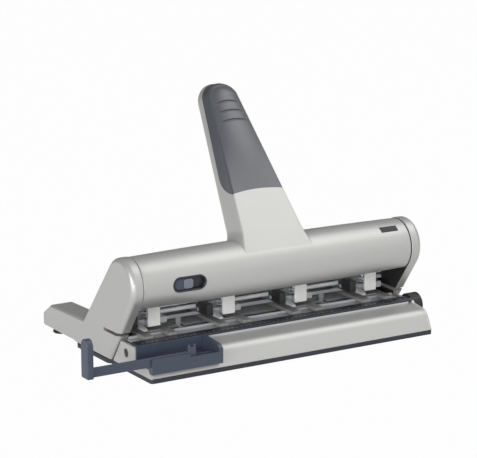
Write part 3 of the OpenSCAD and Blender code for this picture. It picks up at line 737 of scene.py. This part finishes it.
def lock():
    """Oval bezel let into the tube, the slide in it and the slide's thumb piece."""
    inner_len = LOCK_LEN - 2 * LOCK_RIM
    inner_h = LOCK_H - 2 * LOCK_RIM
    bezel = tube_patch("lock_bezel_shown", [
        (LOCK_EDGE, LOCK_FLOOR + 0.8),
        (LOCK_EDGE, 0.05),
        (oval(LOCK_X, LOCK_LEN - 0.5, LOCK_H - 0.5), -0.3),
        (oval(LOCK_X, inner_len + 0.7, inner_h + 0.7), -0.3),
        (oval(LOCK_X, inner_len, inner_h), 0.1),
        (oval(LOCK_X, inner_len, inner_h), LOCK_FLOOR),
    ])
    dress(bezel, "lever", "dark_plastic", "lock_bezel")
    slide_low, slide_high = box_mm("lock_slide")
    length = slide_high[0] - slide_low[0]
    height = slide_high[2] - slide_low[2]
    middle = (slide_high[0] + slide_low[0]) / 2
    slide = tube_patch("lock_slide_shown", [
        (oval(middle, length, height), LOCK_FLOOR - 0.2),
        (oval(middle, length, height), 1.6),
        (oval(middle, length - 1, height - 1), 1.1),
    ])
    dress(slide, "lock", "blue_plastic", "lock_slide")
    thumb_h = height - 2 * THUMB_GAP
    thumb_x = slide_high[0] - THUMB_GAP - THUMB_LEN / 2
    thumb = tube_patch("lock_thumb", [
        (oval(thumb_x, THUMB_LEN, thumb_h, 2.5), 1.5),
        (oval(thumb_x, THUMB_LEN, thumb_h, 2.5), 0.5),
        (oval(thumb_x, THUMB_LEN - 0.8, thumb_h - 0.8, 2.1), 0.0),
        (oval(thumb_x, THUMB_LEN - 2.4, thumb_h - 2.4, 1.3), -0.15),
        (oval(thumb_x, THUMB_LEN - 4.6, thumb_h - 3.4, 0.8), 0.1),
    ])
    # The thumb is the slide's blue plastic, made lighter as a painted highlight.
    dress(thumb, "lock", "blue_plastic", look=THUMB_PAINTED_HIGHLIGHT)


PLATE_FROM = 116.6
PLATE_TO = 135.8
PLATE_LOW = math.radians(45)
PLATE_HIGH = math.radians(59.5)


def bare_plate():
    """Small dark plate let into the tube's upper right."""
    rings = []
    for inset, proud in ((0.0, -0.4), (0.0, 0.2), (0.35, 0.35)):
        low = PLATE_LOW + inset / TUBE_END
        high = PLATE_HIGH - inset / TUBE_END
        turns = np.linspace(low, high, 7)
        spots = [(PLATE_FROM + inset, a) for a in turns]
        spots += [(PLATE_TO - inset, a) for a in turns[::-1]]
        ring = []
        for x, a in spots:
            r = tube_radius(x) + proud
            ring.append((x, -r * math.cos(a), AXIS_Z + r * math.sin(a)))
        rings.append(ring)
    dress(loft("bare_plate", rings), "lever", "dark_plastic", look=PLATE_DARK)


# Return springs

COIL_TURNS = 6
COIL_STEPS = 40
WIRE_R = 0.55


def return_spring(i):
    """One wire wound from the head's seat to the pin's collar, with a flat half turn at each end."""
    node = f"return_spring_{i}"
    low, high = box_mm(node)
    x_mid = (low[0] + high[0]) / 2
    y_mid = (low[1] + high[1]) / 2
    coil = (high[0] - low[0]) / 2 - WIRE_R
    bottom = low[2] + WIRE_R
    top = high[2] - WIRE_R
    rings = []
    for k in range(COIL_TURNS * COIL_STEPS + 1):
        turn = k / COIL_STEPS
        rise = min(max((turn - 0.5) / (COIL_TURNS - 1), 0.0), 1.0)
        a = 2 * math.pi * turn
        ring = []
        for b in np.linspace(0, 2 * math.pi, 11)[:-1]:
            r = coil + WIRE_R * math.cos(b)
            z = bottom + (top - bottom) * rise + WIRE_R * math.sin(b)
            ring.append((x_mid + r * math.cos(a), y_mid + r * math.sin(a), z))
        rings.append(ring)
    spring = dress(loft(f"{node}_shown", rings), f"head_{i}", "spring_steel", node, smooth=60)
    spring.modifiers.clear()
    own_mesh(spring)


# Side guide's latch

GUIDE_FRONT = -51
GUIDE_BACK = -47.4
LATCH_LEN = 7.6
LATCH_LOW = 23.5
LATCH_TOP = 28.4
RIDGE_W = 2.2
RIDGE_LOW = 24.5
RIDGE_TOP = 30.6


def guide_latch():
    """Thumb piece on the end of the guide's bar, with a dip between two ridges."""
    end = box_mm("paper_guide")[1][0] - 0.2
    start = end - LATCH_LEN
    latch = pad(
        "guide_latch", start, end, GUIDE_FRONT + 0.1, GUIDE_BACK - 0.1, LATCH_LOW, LATCH_TOP, 0.6,
    )
    for k, x in enumerate((start, end - RIDGE_W)):
        shape(latch, "UNION", pad(
            f"ridge_{k}", x + 0.05, x + RIDGE_W - 0.05, GUIDE_FRONT + 0.2, GUIDE_BACK - 0.2,
            RIDGE_LOW, RIDGE_TOP, 0.7,
        ))
    dress(latch, "side_guide", "blue_plastic")


# Ruler scale

TICK_STEP = 5
TICKS_EACH_WAY = 29
TICK_HALF = 0.22
LONG_TICK = 3.2
SHORT_TICK = 1.8
TICK_IN = 1.9


def ruler_scale():
    """Ticks every 5 mm along the ruler, longer at every 10 mm."""
    low, high = box_mm("ruler_strip")
    top = high[2]
    front = low[1] + TICK_IN
    points = []
    faces = []
    for k in range(-TICKS_EACH_WAY, TICKS_EACH_WAY + 1):
        left = TICK_STEP * k - TICK_HALF
        right = TICK_STEP * k + TICK_HALF
        back = front + (LONG_TICK if k % 2 == 0 else SHORT_TICK)
        a = len(points)
        for z in (top - 0.05, top + 0.06):
            points += [(left, front, z), (right, front, z), (right, back, z), (left, back, z)]
        faces += [(a, a + 1, a + 2, a + 3), (a + 4, a + 5, a + 6, a + 7)]
        for s in range(4):
            faces.append((a + s, a + (s + 1) % 4, a + 4 + (s + 1) % 4, a + 4 + s))
    dress(mesh_object("ruler_scale", points, faces), "base", "dark_plastic", look=SCALE_INK)


# Pieces

cheek(-1, "cheek_left")
cheek(1, "cheek_right")
lever()
grip()
lock()
bare_plate()
guide_latch()
ruler_scale()
for i in HEADS:
    return_spring(i)

EDGE_WIDTH = {
    "base_pan": 0.8, "front_bar": 0.5, "end_plate_left": 0.6, "end_plate_right": 0.6, "table_plate": 0.3,
    "ruler_strip": 0.4, "front_rail": 0.5, "guide_rod_front": 0.4, "guide_rod_rear": 0.4, "index_rail": 0.3,
    "pivot_shaft": 0.4, "shaft_rings": 0.2, "rear_panel": 0.5, "rear_feet": 0.4, "pan_screws": 0.2,
    "guide_housing": 0.7, "lever_bushes": 0.2, "presser_rod": 0.3, "lock_bolt": 0.3, "paper_guide": 0.8,
    "depth_shaft": 0.3, "depth_knob": 0.5, "depth_pinions": 0.08, "depth_racks": 0.1, "depth_stop": 0.3,
    "chip_drawer": 0.5,
}
HEAD_EDGE_WIDTH = {
    "head_body": 0.5, "die_plate": 0.35, "index_plate": 0.4, "punch_pin": 0.3, "clamp_lever": 0.6,
}
for node, width in EDGE_WIDTH.items():
    softened_node(node, width)
for i in HEADS:
    for node, width in HEAD_EDGE_WIDTH.items():
        softened_node(f"{node}_{i}", width)


# Camera and light

VIEW_AZIMUTH = math.radians(31.8)
VIEW_ELEVATION = math.radians(13.93)
VIEW_DISTANCE = 2.1737
VIEW_TARGET = Vector((0, 0, 0.1))
IMAGE_WIDTH = 477
FOCAL_PIXELS = 2319.9
AXIS_RIGHT_PIXELS = 29.7
AXIS_DOWN_PIXELS = 13.6


def aim(thing, target):
    thing.rotation_euler = (Vector(target) - thing.location).to_track_quat("-Z", "Y").to_euler()


def photo_camera():
    data = bpy.data.cameras.new("photo_camera")
    camera = bpy.data.objects.new("photo_camera", data)
    bpy.context.scene.collection.objects.link(camera)
    flat = math.cos(VIEW_ELEVATION)
    forward = Vector((
        math.sin(VIEW_AZIMUTH) * flat,
        math.cos(VIEW_AZIMUTH) * flat,
        -math.sin(VIEW_ELEVATION),
    ))
    camera.location = VIEW_TARGET - forward * VIEW_DISTANCE
    aim(camera, VIEW_TARGET)
    data.sensor_width = 36
    data.lens = FOCAL_PIXELS * data.sensor_width / IMAGE_WIDTH
    data.shift_x = -AXIS_RIGHT_PIXELS / IMAGE_WIDTH
    data.shift_y = AXIS_DOWN_PIXELS / IMAGE_WIDTH
    data.clip_start = 0.05
    data.clip_end = 60
    bpy.context.scene.camera = camera


def soft_lamp(name, place, target, size, watts):
    data = bpy.data.lights.new(name, "AREA")
    data.shape = "RECTANGLE"
    data.size = size[0]
    data.size_y = size[1]
    data.energy = watts
    lamp = bpy.data.objects.new(name, data)
    lamp.location = place
    bpy.context.scene.collection.objects.link(lamp)
    aim(lamp, target)


FLOOR_WHITE = 0.985
FLOOR_RADIUS = 9.0
FLOOR_Z = -0.0002
FLOOR_CORNERS = 64


def studio_floor():
    """Wide disc under the machine, seen as part plain white and part lit, so that it keeps the shadow."""
    points = [(0, 0, FLOOR_Z)]
    faces = []
    for k in range(FLOOR_CORNERS):
        a = 2 * math.pi * k / FLOOR_CORNERS
        points.append((FLOOR_RADIUS * math.cos(a), FLOOR_RADIUS * math.sin(a), FLOOR_Z))
        faces.append((0, k + 1, (k + 1) % FLOOR_CORNERS + 1))
    mesh = bpy.data.meshes.new("studio_floor")
    mesh.from_pydata(points, [], faces)
    floor = bpy.data.objects.new("studio_floor", mesh)
    bpy.context.scene.collection.objects.link(floor)
    sheet = finish("floor_white")
    cloud = sheet.grain(300)
    mesh.materials.append(sheet.surface(
        Base_Color=sheet.blend(cloud, grey(0.2), grey(0.22)),
        Roughness=0.9,
        Specular_IOR_Level=0.1,
    ))
    seen = (
        sheet.add("ShaderNodeLightPath", output="Is Camera Ray")
        + sheet.add("ShaderNodeLightPath", output="Is Glossy Ray")
        + sheet.add("ShaderNodeLightPath", output="Is Transmission Ray")
    )
    lit = Value(sheet, sheet.tree.nodes["Principled BSDF"].outputs[0])
    white = sheet.add("ShaderNodeEmission", {}, {"Strength": 1.0})
    shown = sheet.add("ShaderNodeMixShader", {}, {0: FLOOR_WHITE * seen, 1: lit, 2: white})
    sheet.put(sheet.tree.nodes["Material Output"].inputs["Surface"], shown)


def studio_world():
    """Soft surround, brighter in front of the machine than behind it."""
    world = bpy.data.worlds.new("studio_world")
    bpy.context.scene.world = world
    sheet = NodeSheet(world)
    direction = sheet.add("ShaderNodeTexCoord", output=0)
    toward = sheet.add("ShaderNodeSeparateXYZ", {}, {0: direction}, output=1)
    behind = toward * 0.5 + 0.5
    shade = sheet.blend(behind, grey(0.75), grey(0.16))
    back = world.node_tree.nodes["Background"]
    sheet.put(back.inputs["Color"], shade)
    back.inputs["Strength"].default_value = 0.8


photo_camera()
studio_floor()
studio_world()
TUBE_TARGET = (0, 0, 0.08)
HEADS_TARGET = (0, 0, 0.05)
soft_lamp("overhead_box", (0.87, -0.33, 1.45), TUBE_TARGET, (1.25, 0.95), 9.0)
soft_lamp("side_box", (-2.0, -0.8, 0.5), TUBE_TARGET, (1.6, 1.0), 28.0)
soft_lamp("front_box", (0.97, -1.46, 0.8), TUBE_TARGET, (1.4, 1.1), 3.5)
soft_lamp("low_box", (-0.9, -1.95, 0.24), HEADS_TARGET, (1.2, 0.36), 9.0)
bpy.context.scene.view_settings.view_transform = "Standard"

bpy.context.view_layer.update()
